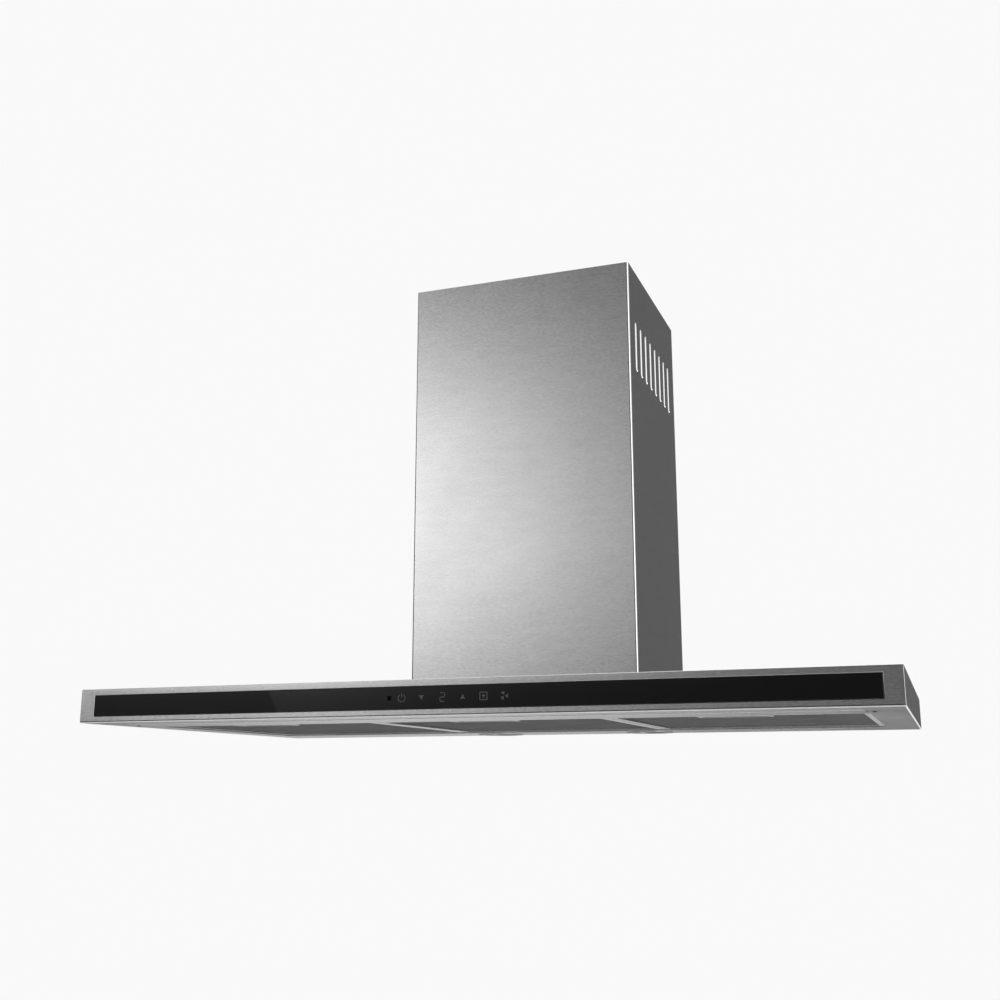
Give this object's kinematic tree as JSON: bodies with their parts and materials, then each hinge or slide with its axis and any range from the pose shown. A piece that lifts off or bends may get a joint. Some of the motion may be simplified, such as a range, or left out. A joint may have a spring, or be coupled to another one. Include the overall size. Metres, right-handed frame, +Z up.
{
  "type": "range hood",
  "caption": "Wall-mounted T-shaped range hood: flat canopy with a black glass control strip, tilting grease filters, and a slotted chimney cover round a centrifugal fan.",
  "frame": {"origin": "centre of the canopy's underside", "axes": "+X right as the user faces it, +Y back towards the wall, +Z up"},
  "size_m": [0.9, 0.5, 0.579],
  "materials": {
    "stainless": "fine horizontal brushing",
    "galvanised": "galvanised, matt",
    "aluminium": "satin",
    "dark_steel": "satin",
    "lamp_rim": "satin",
    "black_glass": "polished, back-painted black",
    "black_plastic": "moulded",
    "grey_plastic": "moulded",
    "white_plastic": "moulded",
    "circuit_board": "solder mask",
    "frosted_lens": "frosted"
  },
  "bodies": {
    "hood": {"canopy_shell": "stainless", "electronics_cover": "stainless", "cover_screw_left": "dark_steel", "cover_screw_right": "dark_steel", "control_glass": "black_glass", "glass_bracket": "galvanised", "control_housing": "black_plastic", "control_board": "circuit_board", "display_module": "black_plastic", "ir_receiver": "black_plastic", "power_module": "black_plastic", "led_driver": "white_plastic", "lamp_housing_left": "lamp_rim", "lamp_housing_right": "lamp_rim", "lamp_lens_left": "frosted_lens", "lamp_lens_right": "frosted_lens", "filter_divider_left": "stainless", "filter_divider_right": "stainless", "chimney_cover": "stainless", "chimney_locating_frame": "galvanised", "fan_cabinet": "galvanised", "fan_cabinet_back": "galvanised", "fan_cabinet_lid": "galvanised", "wall_bracket": "dark_steel", "scroll_wrap": "galvanised", "scroll_cheek_left": "galvanised", "scroll_cheek_right": "galvanised", "inlet_guard_left": "black_plastic", "motor_bracket": "galvanised", "motor_housing": "dark_steel", "motor_bearing": "stainless", "fan_capacitor": "white_plastic", "terminal_box": "grey_plastic", "terminal_box_cover": "grey_plastic", "supply_gland": "black_plastic", "outlet_collar": "grey_plastic", "damper_pin": "stainless"},
    "chimney_slide": {"chimney_extension": "stainless"},
    "fan_rotor": {"motor_shaft": "stainless", "impeller": "black_plastic"},
    "damper_left": {"damper_flap_left": "aluminium"},
    "damper_right": {"damper_flap_right": "aluminium"},
    "filter_left": {"filter_frame_left": "aluminium", "filter_mesh_left": "aluminium", "latch_housing_left": "aluminium"},
    "latch_left": {"latch_slider_left": "aluminium"},
    "filter_centre": {"filter_frame_centre": "aluminium", "filter_mesh_centre": "aluminium", "latch_housing_centre": "aluminium"},
    "latch_centre": {"latch_slider_centre": "aluminium"},
    "filter_right": {"filter_frame_right": "aluminium", "filter_mesh_right": "aluminium", "latch_housing_right": "aluminium"},
    "latch_right": {"latch_slider_right": "aluminium"}
  },
  "joints": [
    {"name": "chimney_extension_slide", "type": "slide", "parent": "hood", "child": "chimney_slide", "axis": [0, 0, 1], "range_m": [0, 0.34]},
    {"name": "fan_spin", "type": "hinge", "parent": "hood", "child": "fan_rotor", "pos_m": [0, 0.096, 0.16], "axis": [1, 0, 0], "continuous": true},
    {"name": "damper_left_swing", "type": "hinge", "parent": "hood", "child": "damper_left", "pos_m": [0, 0.136, 0.346], "axis": [0, 1, 0], "range_deg": [0, 75]},
    {"name": "damper_right_swing", "type": "hinge", "parent": "hood", "child": "damper_right", "pos_m": [0, 0.136, 0.346], "axis": [0, -1, 0], "range_deg": [0, 75]},
    {"name": "filter_left_tilt", "type": "hinge", "parent": "hood", "child": "filter_left", "pos_m": [-0.277, 0.1635, 0.0013], "axis": [1, 0, 0], "range_deg": [0, 70]},
    {"name": "latch_left_slide", "type": "slide", "parent": "filter_left", "child": "latch_left", "axis": [0, 1, 0], "range_m": [0, 0.008], "stiffness_N_per_m": 600, "springref_m": -0.004},
    {"name": "filter_centre_tilt", "type": "hinge", "parent": "hood", "child": "filter_centre", "pos_m": [0, 0.1635, 0.0013], "axis": [1, 0, 0], "range_deg": [0, 70]},
    {"name": "latch_centre_slide", "type": "slide", "parent": "filter_centre", "child": "latch_centre", "axis": [0, 1, 0], "range_m": [0, 0.008], "stiffness_N_per_m": 600, "springref_m": -0.004},
    {"name": "filter_right_tilt", "type": "hinge", "parent": "hood", "child": "filter_right", "pos_m": [0.277, 0.1635, 0.0013], "axis": [1, 0, 0], "range_deg": [0, 70]},
    {"name": "latch_right_slide", "type": "slide", "parent": "filter_right", "child": "latch_right", "axis": [0, 1, 0], "range_m": [0, 0.008], "stiffness_N_per_m": 600, "springref_m": -0.004}
  ]
}
